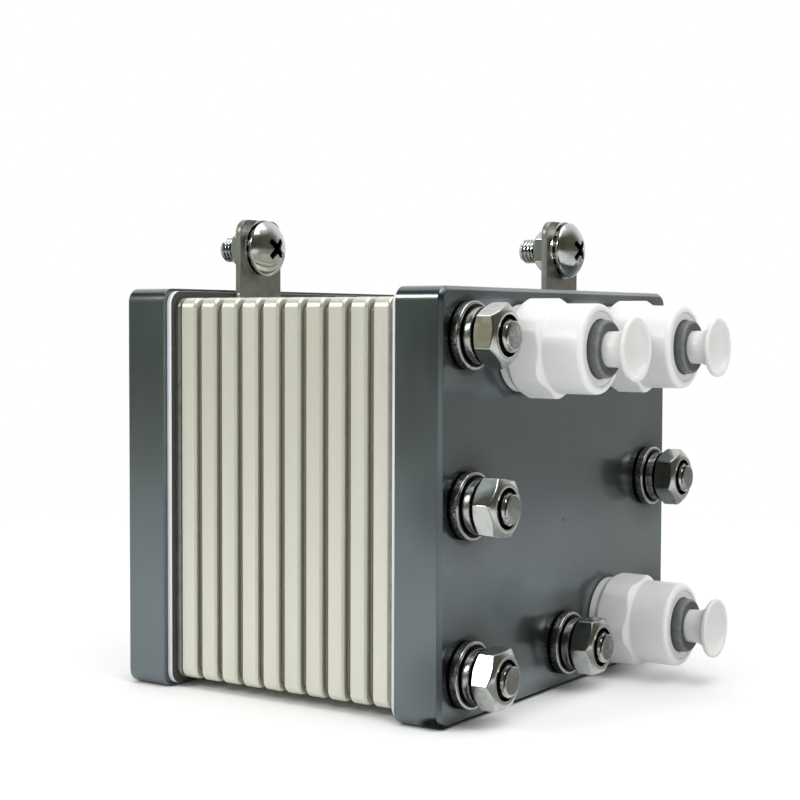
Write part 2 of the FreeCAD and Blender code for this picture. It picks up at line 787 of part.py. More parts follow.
def main():
    os.makedirs("parts", exist_ok=True)
    ports = list(port_places.values())
    save("port_end_plate", [port_end_plate()])
    save("rear_end_plate", [rear_end_plate()])
    save("port_insulating_sheet", [insulating_sheet(port_inner_x - sheet_thickness, ports)])
    save("rear_insulating_sheet", [insulating_sheet(rear_inner_x, [])])
    save("port_terminal_plate", [terminal_plate(port_terminal_x, 1, ports)])
    save("rear_terminal_plate", [terminal_plate(rear_terminal_x, -1, [])])

    middle_plate = flow_plate(0, True, True)
    for index in range(flow_plate_count):
        x = cells_start_x + index * cell_pitch
        if index == 0:
            plate = flow_plate(x, True, False)
        elif index == flow_plate_count - 1:
            plate = flow_plate(x, False, True)
        else:
            plate = along_x(middle_plate, x, 0, 0)
        save("flow_plate_%02d" % (index + 1), [plate])

    gasket = cell_gasket(0)
    film = membrane(0)
    porous_sheet = diffuser(0)
    felts = []
    papers = []
    for index, x in enumerate(cell_stations()):
        second = x + gasket_thickness + membrane_thickness
        save("cell_gaskets_%d" % (index + 1), [along_x(gasket, x, 0, 0), along_x(gasket, second, 0, 0)])
        save("membrane_%d" % (index + 1), [along_x(film, x + gasket_thickness, 0, 0)])
        felts.append(along_x(porous_sheet, x, 0, 0))
        papers.append(along_x(porous_sheet, second, 0, 0))
    save("anode_felts", felts)
    save("cathode_papers", papers)

    places = bolt_places()
    save("tie_bolts", [tie_bolt(y, z) for y, z in places.values()])
    save("insulating_sleeves", [insulating_sleeve(y, z) for y, z in places.values()])
    save("flat_washers", [flat_washer(y, z) for y, z in places.values()])
    save("spring_washers", [spring_washer(y, z, split_turns[key]) for key, (y, z) in places.items()])
    save("tie_nuts", [tie_nut(y, z, nut_turns[key]) for key, (y, z) in places.items()])

    tabs = [(rear_terminal_x + terminal_thickness, -tab_y), (port_terminal_x + terminal_thickness, tab_y)]
    save("terminal_screws", [along_x(terminal_screw(x), 0, y, tab_hole_z) for x, y in tabs])
    save("terminal_washers", [along_x(lead_washer(x), 0, y, tab_hole_z) for x, y in tabs])
    save("terminal_lock_washers", [along_x(lock_washer(x), 0, y, tab_hole_z) for x, y in tabs])
    save("terminal_nuts", [along_x(lead_nut(x), 0, y, tab_hole_z) for x, y in tabs])

    for name, (y, z) in port_places.items():
        save("port_body_" + name, [along_x(port_fitting(collar_turns[name]), port_face_x, y, z)])
        save("port_cap_" + name, [along_x(port_cap(), port_face_x, y, z)])
        save("release_ring_" + name, [along_x(release_ring(), port_face_x, y, z)])
        save("tube_plug_" + name, [along_x(tube_plug(), port_face_x, y, z)])
    save("port_face_seals", [along_x(face_seal(), port_face_x, y, z) for y, z in ports])
    save("tube_seals", [along_x(tube_seal(), port_face_x, y, z) for y, z in ports])


main()
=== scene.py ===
# %% [markdown]
# # A small PEM electrolyser stack, dressed for its portrait
#
# Nine thin cells lie between ten metal flow plates. Two thick end plates squeeze them together with
# eight tie bolts. Water goes in and gas comes out through three white push-in fittings, each closed
# with a plug here, and the current enters at the two tabs on top.
#
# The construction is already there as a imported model: the frame. This script adds what the frame
# leaves out, the finish of each surface and the small turned, threaded and moulded forms. It works
# in metres, in the frame's own axes: X out of the port side, Y across the plates, Z up.

# %% Load the frame
import bmesh
import bpy
import json
import math
from mathutils import Matrix, Vector

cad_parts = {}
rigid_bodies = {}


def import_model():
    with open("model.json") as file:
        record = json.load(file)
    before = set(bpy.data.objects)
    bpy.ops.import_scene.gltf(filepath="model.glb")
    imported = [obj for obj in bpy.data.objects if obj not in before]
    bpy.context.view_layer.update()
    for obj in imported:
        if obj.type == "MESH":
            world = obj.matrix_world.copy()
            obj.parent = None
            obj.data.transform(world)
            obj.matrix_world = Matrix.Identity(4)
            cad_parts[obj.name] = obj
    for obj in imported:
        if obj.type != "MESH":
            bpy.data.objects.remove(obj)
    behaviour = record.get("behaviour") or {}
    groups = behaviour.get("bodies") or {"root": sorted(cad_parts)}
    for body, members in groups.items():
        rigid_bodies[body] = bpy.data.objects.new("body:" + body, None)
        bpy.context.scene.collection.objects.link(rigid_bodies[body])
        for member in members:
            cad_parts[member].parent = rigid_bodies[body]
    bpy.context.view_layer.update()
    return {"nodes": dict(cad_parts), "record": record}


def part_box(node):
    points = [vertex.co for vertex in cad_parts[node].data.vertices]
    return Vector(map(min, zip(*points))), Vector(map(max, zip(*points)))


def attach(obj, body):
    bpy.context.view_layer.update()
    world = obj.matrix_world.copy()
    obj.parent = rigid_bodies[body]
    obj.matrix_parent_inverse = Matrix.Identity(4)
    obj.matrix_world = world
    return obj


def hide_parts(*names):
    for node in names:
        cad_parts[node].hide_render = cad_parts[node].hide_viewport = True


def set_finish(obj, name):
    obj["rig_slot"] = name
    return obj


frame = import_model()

mm = 0.001
print("the frame has", len(frame["nodes"]), "nodes")

# %% [markdown]
# ## Where things are
#
# The frame says where every piece lies, so nothing is measured twice. A node such as the tie nuts
# holds eight separate nuts in one mesh. Walking along the edges from corner to corner finds each of
# them, and the box round it gives its middle, its height and its width.

# %% Find the separate pieces of a node


def islands(node):
    """The separate pieces of a CAD node, each as a list of its corner points."""
    cloud = bmesh.new()
    cloud.from_mesh(frame["nodes"][node].data)
    bmesh.ops.remove_doubles(cloud, verts=cloud.verts, dist=0.001 * mm)
    found = []
    seen = set()
    for first in cloud.verts:
        if first in seen:
            continue
        seen.add(first)
        waiting = [first]
        points = []
        while waiting:
            corner = waiting.pop()
            points.append(corner.co.copy())
            for edge in corner.link_edges:
                other = edge.other_vert(corner)
                if other not in seen:
                    seen.add(other)
                    waiting.append(other)
        found.append(points)
    cloud.free()
    return found


class Place:
    """The box round one piece, in millimetres, with the axis along X that it is turned about."""

    def __init__(self, points):
        self.points = [point / mm for point in points]
        self.low = Vector([min(point[axis] for point in self.points) for axis in range(3)])
        self.high = Vector([max(point[axis] for point in self.points) for axis in range(3)])
        self.y = (self.low.y + self.high.y) / 2
        self.z = (self.low.z + self.high.z) / 2

    def radius(self, point):
        """Distance of a point from the axis."""
        return math.hypot(point.y - self.y, point.z - self.z)

    def corner_turn(self, radius):
        """Turn of the first corner of a hexagon whose corners stand out to a radius, in degrees."""
        corner = min(self.points, key=lambda point: abs(self.radius(point) - radius))
        return math.degrees(math.atan2(corner.z - self.z, self.y - corner.y)) % 60


def places(node):
    """A Place for each piece of a node, in a fixed order: by height, then from near to far."""

    def order(place):
        return round(place.z, 1), round(place.y, 1), round(place.low.x, 1)

    return sorted([Place(points) for points in islands(node)], key=order)


nut_places = places("tie_nuts")
nut_height = nut_places[0].high.x - nut_places[0].low.x
print("tie nuts:", len(nut_places), "and each is", round(nut_height, 2), "mm high")

# %% [markdown]
# ## Turned pieces
#
# Most of the small pieces come off a lathe or out of a round mould. On screen they can be made the
# same way: a half section, given as corners with a rounding, is swept about the X axis. Real edges
# are never perfectly sharp, and it is the thin highlight on a rounded edge that makes metal look
# like metal, so each corner gets its own small rounding.
#
# Each point of the sweep also remembers how far along and how far out it lies, and how much painted
# shade it gets. The finishes use that later to draw the fine rings that a cutting tool leaves, and
# a painted shade, down to black, in the grooves and holes where little light reaches.

# %% Half sections


def rounded(corners, steps=3):
    """Points of a closed half section. A corner is (x, radius) or (x, radius, rounding), in mm."""
    points = []
    for index, corner in enumerate(corners):
        here = Vector(corner[:2])
        rounding = corner[2] if len(corner) > 2 else 0
        if rounding == 0:
            points.append(here)
            continue
        before = Vector(corners[index - 1][:2])
        after = Vector(corners[(index + 1) % len(corners)][:2])
        start = here + (before - here).normalized() * rounding
        end = here + (after - here).normalized() * rounding
        for step in range(steps + 1):
            share = step / steps
            rest = 1 - share
            points.append(start * rest ** 2 + here * (2 * share * rest) + end * share ** 2)
    return points


def along(start, end, count):
    """Corners in line from a start to just before an end, for stretches that need many columns."""
    return [tuple(Vector(start).lerp(Vector(end), step / count)) for step in range(count)]


def all_round(count):
    """Angles all round, in degrees."""
    return [360 * step / count for step in range(count)]


# %% Sweep a half section into a mesh


def sweep(mesh, section, y, z, angles, shape=None, closed=True, twist=0.0, painted_shade=None):
    """Turn a closed half section about an X axis at y and z, all in mm, and add it to a bmesh.

    A shape function may move each point: it takes and returns x and radius, and is told the angle.
    A sweep that isn't closed has flat ends, and a twist in degrees per mm slants them. A function
    for painted shade says from x, radius and angle how much painted shade a point gets, from 0 to 1.
    """
    vectors = mesh.verts.layers.float_vector
    lathe = vectors.get("lathe") or vectors.new("lathe")
    middle = sum(point[0] for point in section) / len(section)
    columns = []
    for angle in angles:
        column = []
        for x, radius in section:
            turn = math.radians(angle + twist * (x - middle))
            # The third number kept at each point is how much painted shade it gets.
            painted_shade_amount = painted_shade(x, radius, angle) if painted_shade else 0
            if shape:
                x, radius = shape(x, radius, angle)
            place = Vector((x, y - radius * math.cos(turn), z + radius * math.sin(turn)))
            vertex = mesh.verts.new(place * mm)
            vertex[lathe] = (x, radius, painted_shade_amount)
            column.append(vertex)
        columns.append(column)
    pairs = list(zip(columns, columns[1:]))
    if closed:
        pairs.append((columns[-1], columns[0]))
    for first, second in pairs:
        for step in range(len(section)):
            mesh.faces.new((first[step - 1], first[step], second[step], second[step - 1]))
    if not closed:
        mesh.faces.new(columns[0])
        mesh.faces.new(reversed(columns[-1]))


def make_piece(name, mesh, body, slot, nodes, sharp=35):
    """Turn a bmesh into a piece of the scene that rides on a body and stands for CAD nodes."""
    bmesh.ops.remove_doubles(mesh, verts=mesh.verts, dist=0.0005 * mm)
    bmesh.ops.recalc_face_normals(mesh, faces=mesh.faces)
    data = bpy.data.meshes.new(name)
    mesh.to_mesh(data)
    mesh.free()
    data.shade_smooth()
    data.set_sharp_from_angle(angle=math.radians(sharp))
    piece = bpy.data.objects.new(name, data)
    bpy.context.scene.collection.objects.link(piece)
    shading = piece.modifiers.new("even shading", "WEIGHTED_NORMAL")
    shading.keep_sharp = True
    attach(piece, body)
    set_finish(piece, slot)
    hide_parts(*nodes)
    print(name, "has", len(data.polygons), "faces")
    return piece


def make_turned(name, body, slot, node, add, **sizes):
    """One piece for a CAD node, with what a function adds at each place of that node."""
    mesh = bmesh.new()
    for place in places(node):
        add(mesh, place, **sizes)
    make_piece(name, mesh, body, slot, [node])


# %% [markdown]
# ## Six sides out of a round sweep
#
# A nut is turned too, and then has six sides. A hexagon is just a radius that changes with the
# angle, so one sweep makes it: at each angle the smaller of the two radii holds. A soft minimum
# rounds the curved edge where the cone of the chamfer meets a flat.

# %% Hexagons


def hexagon_angles(turn, steps=10):
    """Angles all round a hexagon, closer together near its corners."""
    offsets = [math.copysign(30 * (step / steps) ** 2, step) for step in range(-steps, steps)]
    return [turn + 60 * corner + offset for corner in range(6) for offset in offsets]


def hexagon_radius(angle, turn, half_width, rounding):
    """Radius of a hexagon with rounded corners at an angle. Angles are in degrees."""
    off_corner = math.radians((angle - turn + 30) % 60 - 30)
    centre = (half_width - rounding) / math.cos(math.pi / 6)
    arc_end = math.atan2(rounding / 2, centre + rounding * math.cos(math.pi / 6))
    if abs(off_corner) < arc_end:
        aside = centre * math.sin(off_corner)
        return centre * math.cos(off_corner) + math.sqrt(rounding ** 2 - aside ** 2)
    return half_width / math.cos(math.pi / 6 - abs(off_corner))


def soft_minimum(a, b, softness):
    """The smaller of two sizes, with a smooth change from one to the other."""
    overlap = max(softness - abs(a - b), 0) / softness
    return min(a, b) - overlap * overlap * softness / 4


# %% [markdown]
# ## Nuts
#
# Eight stainless nuts hold the stack shut, and two smaller ones hold the terminal screws. The blank
# is a hexagon bar, chamfered on a lathe at both ends so that its corners don't cut your hand: that
# cone is what bends the edge of each flat into a curve. The front of the hole is drilled wider than
# the bolt, and painted shade in it draws a black ring round the end of the bolt; the back chamfer,
# in the groove against the spring washer, is painted dark too. Each nut stopped at its own turn when
# it was tightened, and the frame's mesh still knows which.

# %% Nuts
nut_chamfer_slope = 0.58
nut_edge = 0.2
nut_chamfer = 0.72
nut_hole_depth = 1.6


def add_nut(mesh, place, flats, bore, countersink):
    """One hexagon nut where a place says, at its own turn."""
    back = place.low.x
    front = place.high.x
    corner = flats / math.sqrt(3)
    turn = place.corner_turn(corner)
    land = flats / 2 - nut_chamfer
    reach = corner + nut_edge
    chamfer = (reach - land) * nut_chamfer_slope
    section = rounded(
        [(back, land)]
        + along((back, land), (back + chamfer, reach), 10)[1:]
        + [(back + chamfer, reach)]
        + along((front - chamfer, reach), (front, land), 10)
        + [
            (front, land, 0.2),
            (front, countersink, 0.08),
            (front - 0.1, countersink - 0.04),
            (front - nut_hole_depth, countersink - 0.1),
            (front - nut_hole_depth - 0.2, bore),
            (back + 0.5, bore),
            (back, countersink),
        ]
    )

    def cut_sides(x, radius, angle):
        return x, soft_minimum(radius, hexagon_radius(angle, turn, flats / 2, nut_edge), nut_edge)

    # Painted shade: black in the drilled hole, and dark on the back chamfer in the groove against
    # the spring washer.
    def painted_shade(x, radius, angle):
        in_hole = radius < countersink - 0.03
        return 1 if in_hole else max(0.9 - (x - back) / 0.35, 0)

    sweep(mesh, section, place.y, place.z, hexagon_angles(turn), cut_sides, painted_shade=painted_shade)


tie_nut_sizes = {"flats": 10.0, "bore": 3.1, "countersink": 3.65}
lead_nut_sizes = {"flats": 8.0, "bore": 2.55, "countersink": 2.9}
make_turned("hex_nuts", "stack", "fastener_steel", "tie_nuts", add_nut, **tie_nut_sizes)
make_turned("lead_nuts", "stack", "fastener_steel", "terminal_nuts", add_nut, **lead_nut_sizes)

# %% [markdown]
# ## Threads
#
# A thread is a groove that climbs as it goes round. In a sweep that is one more rule for the
# radius: it follows a zigzag along the axis, and the zigzag is shifted by one pitch in each full
# turn. The groove fades out at both ends of the threaded stretch, as a rolled thread does.

# %% Thread rule


crest_share = 0.15
flank_share = 0.65


def thread(x, angle, start, end, pitch, depth):
    """How deep the thread cuts at x and an angle, between its start and its end."""
    phase = (x / pitch + angle / 360) % 1
    flank = min(max((abs(2 * phase - 1) - crest_share) / flank_share, 0), 1)
    fade = min(max((x - start) / pitch, 0), max((end - x) / (0.4 * pitch), 0), 1)
    return depth * flank * fade


# %% [markdown]
# ## Tie bolts
#
# Each tie bolt has a socket head sunk in the rear plate and a rolled thread that ends just past its
# nut. Only the last turns of the thread and the end of the bolt show: a bevelled edge and a face
# that bulges a little, because rolling squeezes the metal outwards.

# %% Tie bolts
bolt_radius = 3.0
bolt_thread_radius = 2.92
bolt_thread_depth = 0.5
bolt_thread_length = 8.0
bolt_pitch = 1.0
bolt_end_bevel = 0.62
bolt_face_radius = 2.3
bolt_head_radius = 5.0
bolt_head_height = 4.0
socket_radius = 2.0
socket_depth = 2.4


def bolt_section(place):
    """Half section of a tie bolt, from the floor of its socket round to the bulge of its end."""
    back = place.low.x
    end = place.high.x
    floor = back + socket_depth
    seat = back + bolt_head_height
    start = end - bolt_thread_length
    tip = end - bolt_end_bevel
    count = round((tip - start) / bolt_pitch * 8)
    return rounded(
        [(floor + 0.6, 0), (floor, socket_radius), (back, socket_radius, 0.12)]
        + [(back, bolt_head_radius, 0.4), (seat, bolt_head_radius, 0.15)]
        + [(seat, bolt_radius, 0.2), (start - 0.5, bolt_radius)]
        + along((start, bolt_thread_radius), (tip, bolt_thread_radius), count)
        + [(tip, bolt_thread_radius), (end - 0.1, 2.42, 0.14), (end - 0.02, 1.2), (end, 0)]
    )


def add_bolt(mesh, place):
    """One tie bolt where a place says."""
    end = place.high.x
    socket_end = place.low.x + socket_depth + 0.01

    def roll(x, radius, angle):
        if x < socket_end and abs(radius - socket_radius) < 0.13:
            return x, radius - socket_radius + hexagon_radius(angle, 0, socket_radius, 0.1)
        if radius > bolt_face_radius:
            start = end - bolt_thread_length
            radius -= thread(x, angle, start, end - 0.2, bolt_pitch, bolt_thread_depth)
        return x, radius

    # Painted shade: black on the thread inside the nut, fading out along the turns that come out of
    # it; the end face is darkened by half.
    def painted_shade(x, radius, angle):
        if x > end - 0.2 and radius < bolt_face_radius:
            return 0.5
        if x > end - 1.5:
            return min(max((end - 0.75 - x) / 0.4, 0), 1)
        return 1 if x > end - 4 else 0

    sweep(mesh, bolt_section(place), place.y, place.z, hexagon_angles(0, 8), roll, painted_shade=painted_shade)


make_turned("threaded_tie_bolts", "stack", "fastener_steel", "tie_bolts", add_bolt)

# %% [markdown]
# ## Flat washers
#
# A flat washer is punched out of sheet. The punch pulls its upper edge round and tears the lower
# part of its side, so the side is never as bright as a turned one: it is dull and pitted, and it
# also gets painted shade, darkest at its back edge on the plate. The front face is painted black
# where the spring washer shades it.

# %% Flat washers
washer_hole_radius = 3.2


def add_flat_washer(mesh, place):
    """One punched washer where a place says."""
    back, front = place.low.x, place.high.x
    outer = (place.high.y - place.low.y) / 2
    section = rounded([
        (back, washer_hole_radius),
        (back, outer - 0.12, 0.1),
        (back + 0.35, outer, 0.1),
        (front, outer, 0.3),
        (front, outer - 0.42),
        (front, outer - 0.65),
        (front, washer_hole_radius, 0.15),
    ])

    # Painted shade: black on the front face under the spring washer, dark on the side, darkest at
    # the back edge on the plate.
    def painted_shade(x, radius, angle):
        if x > front - 0.05 and radius < outer - 0.5:
            return 1
        if radius < outer - 0.02 and x > front - 0.2:
            return 0.3
        return 0.6 if x > back + 0.3 else 0.85

    sweep(mesh, section, place.y, place.z, all_round(144), painted_shade=painted_shade)


make_turned("punched_washers", "stack", "fastener_steel", "flat_washers", add_flat_washer)

# %% [markdown]
# ## Spring washers
#
# A split washer is a short piece of square wire, wound once and cut. Under a tight nut it lies
# flat, and only the slanted split shows. The sweep stops short of a full turn to leave the split,
# and a twist slants both ends. The split's place comes from the frame's mesh: it is the widest gap
# between the points round the ring. Its width is in degrees, and its slant in degrees per mm.

# %% Spring washers
split_width = 9.0
split_slant = 5.0


def split_turn(place):
    """Angle of the middle of a washer's split, in degrees."""
    edge = max(place.radius(point) for point in place.points)
    rim = [point for point in place.points if place.radius(point) > edge - 0.05]
    angles = sorted(math.degrees(math.atan2(point.z - place.z, place.y - point.y)) for point in rim)
    gaps = [(after - before, (after + before) / 2) for before, after in zip(angles, angles[1:])]
    gaps.append((angles[0] + 360 - angles[-1], (angles[0] + 360 + angles[-1]) / 2))
    return max(gaps)[1]


def add_spring_washer(mesh, place):
    """One split washer where a place says."""
    back, front = place.low.x, place.high.x
    outer = (place.high.y - place.low.y + place.high.z - place.low.z) / 4
    section = rounded([
        (back, washer_hole_radius, 0.15),
        (back, outer, 0.35),
        (front, outer, 0.35),
        (front, washer_hole_radius, 0.15),
    ])
    start = split_turn(place) + split_width / 2
    sweep_angle = 360 - split_width
    angles = [start + sweep_angle * step / 96 for step in range(97)]

    # The whole washer is darkened a little, and painted shade, nearly black, lies at both faces
    # where it meets the flat washer and the nut.
    def painted_shade(x, radius, angle):
        edge = min(x - back, front - x)
        return 0.38 + max(0.6 - edge / 0.6, 0)

    sweep(mesh, section, place.y, place.z, angles, closed=False, twist=split_slant, painted_shade=painted_shade)


make_turned("split_washers", "stack", "fastener_steel", "spring_washers", add_spring_washer)

# %% [markdown]
# ## Terminal screws
#
# The screws that hold the leads have a polished dome with a cross recess. The recess is pressed in
# by a punch with four tapered wings, so its walls lean and its edges are soft. Here the dome is a
# sweep with close rings, and a rule pushes its points down where the wings are.

# %% Terminal screws
head_radius = 5.5
head_rim = 0.6
head_height = 3.1
recess_turn = 42.0
recess_span = 2.45
recess_half_width = 0.76
recess_depth = 1.9
screw_radius = 2.45
screw_pitch = 0.8
screw_thread_depth = 0.4
screw_plain_length = 6.0


def smooth_step(value):
    """A soft ramp from 0 to 1."""
    value = min(max(value, 0), 1)
    return value * value * (3 - 2 * value)


def recess(radius, angle):
    """How deep the cross recess goes at a point of the head."""
    deepest = 0
    for wing in (0, 90):
        turn = math.radians(angle - recess_turn - wing)
        out = abs(radius * math.cos(turn))
        off = abs(radius * math.sin(turn))
        half_width = recess_half_width - 0.06 * out
        walls = smooth_step((half_width - off) / 0.16) * smooth_step((recess_span - out) / 0.3)
        deepest = max(deepest, walls * (recess_depth - 0.42 * out))
    return deepest


def dome(radius):
    """Height of the domed head above its rim at a radius."""
    rise = head_height - head_rim
    ball = (head_radius ** 2 + rise ** 2) / (2 * rise)
    return math.sqrt(ball ** 2 - radius ** 2) - (ball - rise)


def screw_section(place):
    """Half section of a terminal screw, from its thread round to the middle of its head."""
    end = place.low.x
    seat = place.high.x - head_height
    start = seat - screw_plain_length - 0.5
    count = round((start - end - 0.5) / screw_pitch * 8)
    radii = [head_radius - 0.08 * step ** 1.6 for step in range(1, 10)]
    radii += [2.7 * (1 - step / 40) for step in range(41)]
    rim = seat + head_rim
    return rounded(
        [(end, 0), (end, 1.95, 0.1)]
        + along((end + 0.5, screw_radius), (start, screw_radius), count)
        + [(start, screw_radius), (seat, screw_radius)]
        + [(seat, head_radius - 0.1, 0.1), (rim - 0.1, head_radius, 0.1)]
        + [(rim + dome(radius), radius) for radius in radii]
    )


def add_screw(mesh, place):
    """One terminal screw where a place says."""
    seat = place.high.x - head_height
    start = place.low.x
    end = seat - screw_plain_length

    def press(x, radius, angle):
        if x > seat + head_rim:
            return x - recess(radius, angle), radius
        if radius > 2.0 and x < end:
            radius -= thread(x, angle, start, end, screw_pitch, screw_thread_depth)
        return x, radius

    # Painted shade in the cross recess, darker where the recess is deeper.
    def painted_shade(x, radius, angle):
        return smooth_step(recess(radius, angle) / 0.5) if x > seat + head_rim else 0

    sweep(mesh, screw_section(place), place.y, place.z, all_round(192), press, painted_shade=painted_shade)


make_turned("domed_screws", "stack", "fastener_steel", "terminal_screws", add_screw)

# %% [markdown]
# ## Push-in fittings
#
# Each fitting is moulded in white plastic. A spanner turns it by a six-sided collar with bevelled
# edges, and the barrel in front of it is round, with a soft rim. Plastic shrinks a little as it
# cools, so no edge is crisp: the roundings here are several times larger than on the metal.

# %% Fitting bodies
ports = ("near_top", "far_top", "far_bottom")
collar_flats = 16.8
collar_edge = 0.55
collar_radius = 9.0
collar_length = 7.5
back_bevel = 1.3
front_bevel = 1.0
base_radius = 7.9
base_height = 1.45
barrel_radius = 8.05
mouth_radius = 6.65
mouth_floor = 7.4
pocket_radius = 4.9
pocket_floor = 2.0
channel_radius = 2.4
seal_groove_radius = 6.9
seal_groove_depth = 1.4
shank_radius = 4.9
shank_length = 8.0


def add_fitting(mesh, place):
    """The moulded body of one fitting."""
    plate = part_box("port_end_plate")[1].x / mm
    front = place.high.x
    turn = place.corner_turn(collar_radius)
    inner_end = plate - shank_length
    groove = plate + seal_groove_depth
    stop = plate + pocket_floor
    shelf = plate + mouth_floor
    collar_start = plate + base_height
    collar_end = collar_start + collar_length
    land_start = collar_start + back_bevel
    land_end = collar_end - front_bevel
    section = rounded(
        [(inner_end, channel_radius), (inner_end, shank_radius)]
        + [(groove, shank_radius), (groove, seal_groove_radius)]
        + [(plate, seal_groove_radius, 0.1), (plate, base_radius, 0.25)]
        + [(collar_start, base_radius, 0.2)]
        + along((collar_start, base_radius), (land_start, collar_radius), 8)[1:]
        + along((land_start, collar_radius), (land_end, collar_radius), 3)
        + along((land_end, collar_radius), (collar_end, barrel_radius), 8)
        + [(collar_end, barrel_radius, 0.25), (front, barrel_radius, 0.95)]
        + [(front, mouth_radius, 0.22), (shelf, mouth_radius)]
        + [(shelf, pocket_radius), (stop, pocket_radius), (stop, channel_radius)],
        steps=5,
    )

    def mould(x, radius, angle):
        side = hexagon_radius(angle, turn, collar_flats / 2, collar_edge)
        if radius > base_radius - 0.3 and collar_start - 0.3 < x < collar_end + 0.3:
            radius = soft_minimum(radius, side, collar_edge / 2)
        return x, radius

    sweep(mesh, section, place.y, place.z, hexagon_angles(turn, 14), mould)


for port in ports:
    make_turned("fitting_" + port, "stack", "fitting_plastic", "port_body_" + port, add_fitting)

# %% [markdown]
# ## Plugs
#
# A plug closes each port for storage. It is one moulding: a stem as thick as a tube, and a flared
# hollow cup to pull it out by. The wall of the cup is thin and its lip is soft.

# %% Plugs
tube_radius = 3.175
cup_length = 3.3
cup_floor_thickness = 0.9
cup_floor_radius = 2.5
lip_thickness = 0.72


def add_plug(mesh, place):
    """One plug, from its hidden tip to the lip of its cup."""
    tip, lip = place.low.x, place.high.x
    cup = place.high.z - place.z
    neck = lip - cup_length
    floor = neck + cup_floor_thickness
    section = rounded([
        (tip, 0),
        (tip, tube_radius, 0.9),
        (neck, tube_radius, 0.7),
        (lip - 1.75, tube_radius + 0.75, 0.7),
        (lip - 0.8, cup - 0.02, 0.4),
        (lip, cup, 0.28),
        (lip, cup - lip_thickness, 0.3),
        (lip - 1.0, cup - 1.15, 0.7),
        (floor, cup_floor_radius, 1.1),
        (floor, 0),
    ], steps=6)
    sweep(mesh, section, place.y, place.z, all_round(144))


for port in ports:
    make_turned("plug_" + port, port + "_plug", "plug_plastic", "tube_plug_" + port, add_plug)

# %% [markdown]
# ## Plates with broken edges
#
# The flat pieces keep the frame's shape. What a drawing leaves out is that every cut edge is broken
# a little, by a file or a tumbler, and that line of light is what tells the eye that a plate is
# solid. A copy of the frame's mesh is cleaned of the extra lines across its flat faces, and a very
# small bevel goes on its sharp edges.

# %% Flat pieces with broken edges


def edge_broken(node, slot, width):
    """A copy of a CAD node whose sharp edges are broken by a width in mm."""
    mesh = bmesh.new()
    mesh.from_mesh(frame["nodes"][node].data)
    bmesh.ops.remove_doubles(mesh, verts=mesh.verts, dist=0.001 * mm)
    flat = math.radians(0.5)
    bmesh.ops.dissolve_limit(mesh, angle_limit=flat, verts=mesh.verts, edges=mesh.edges)
    piece = make_piece(node + "_dressed", mesh, "stack", slot, [node], sharp=180)
    bevel = piece.modifiers.new("broken edges", "BEVEL")
    bevel.width = width * mm
    bevel.segments = 2
    bevel.limit_method = "ANGLE"
    bevel.angle_limit = math.radians(30)
    piece.modifiers.move(1, 0)


flow_plates = sorted(node for node in frame["nodes"] if node.startswith("flow_plate"))
for side in ("port", "rear"):
    edge_broken(side + "_end_plate", "end_plate_metal", 0.12)
    edge_broken(side + "_insulating_sheet", "insulating_sheet", 0.12)
    edge_broken(side + "_terminal_plate", "terminal_metal", 0.1)
for node in flow_plates:
    edge_broken(node, "flow_plate_metal", 0.1)

# %% [markdown]
# ## A small language for finishes
#
# Every finish below is worked out by nodes from the place of the point on the object, so it has no
# pictures and no seams. Linking nodes by hand in code soon gets hard to read. These two classes let
# a finish be written like sums: a Link is the output of a node, and adding or multiplying links
# adds the Math nodes that do it. Any other node comes from one method.

# %% Links


class Link:
    """The output of a node, which Python's operators work on."""

    def __init__(self, nodes, socket):
        self.nodes = nodes
        self.socket = socket

    def maths(self, operation, first, second):
        """A Math node on two values or links."""
        return self.nodes.node("ShaderNodeMath", {"operation": operation}, {0: first, 1: second})

    def __add__(self, other):
        return self.maths("ADD", self, other)

    def __sub__(self, other):
        return self.maths("SUBTRACT", self, other)

    def __rsub__(self, other):
        return self.maths("SUBTRACT", other, self)

    def __mul__(self, other):
        return self.maths("MULTIPLY", self, other)

    __radd__ = __add__


# %% Node trees


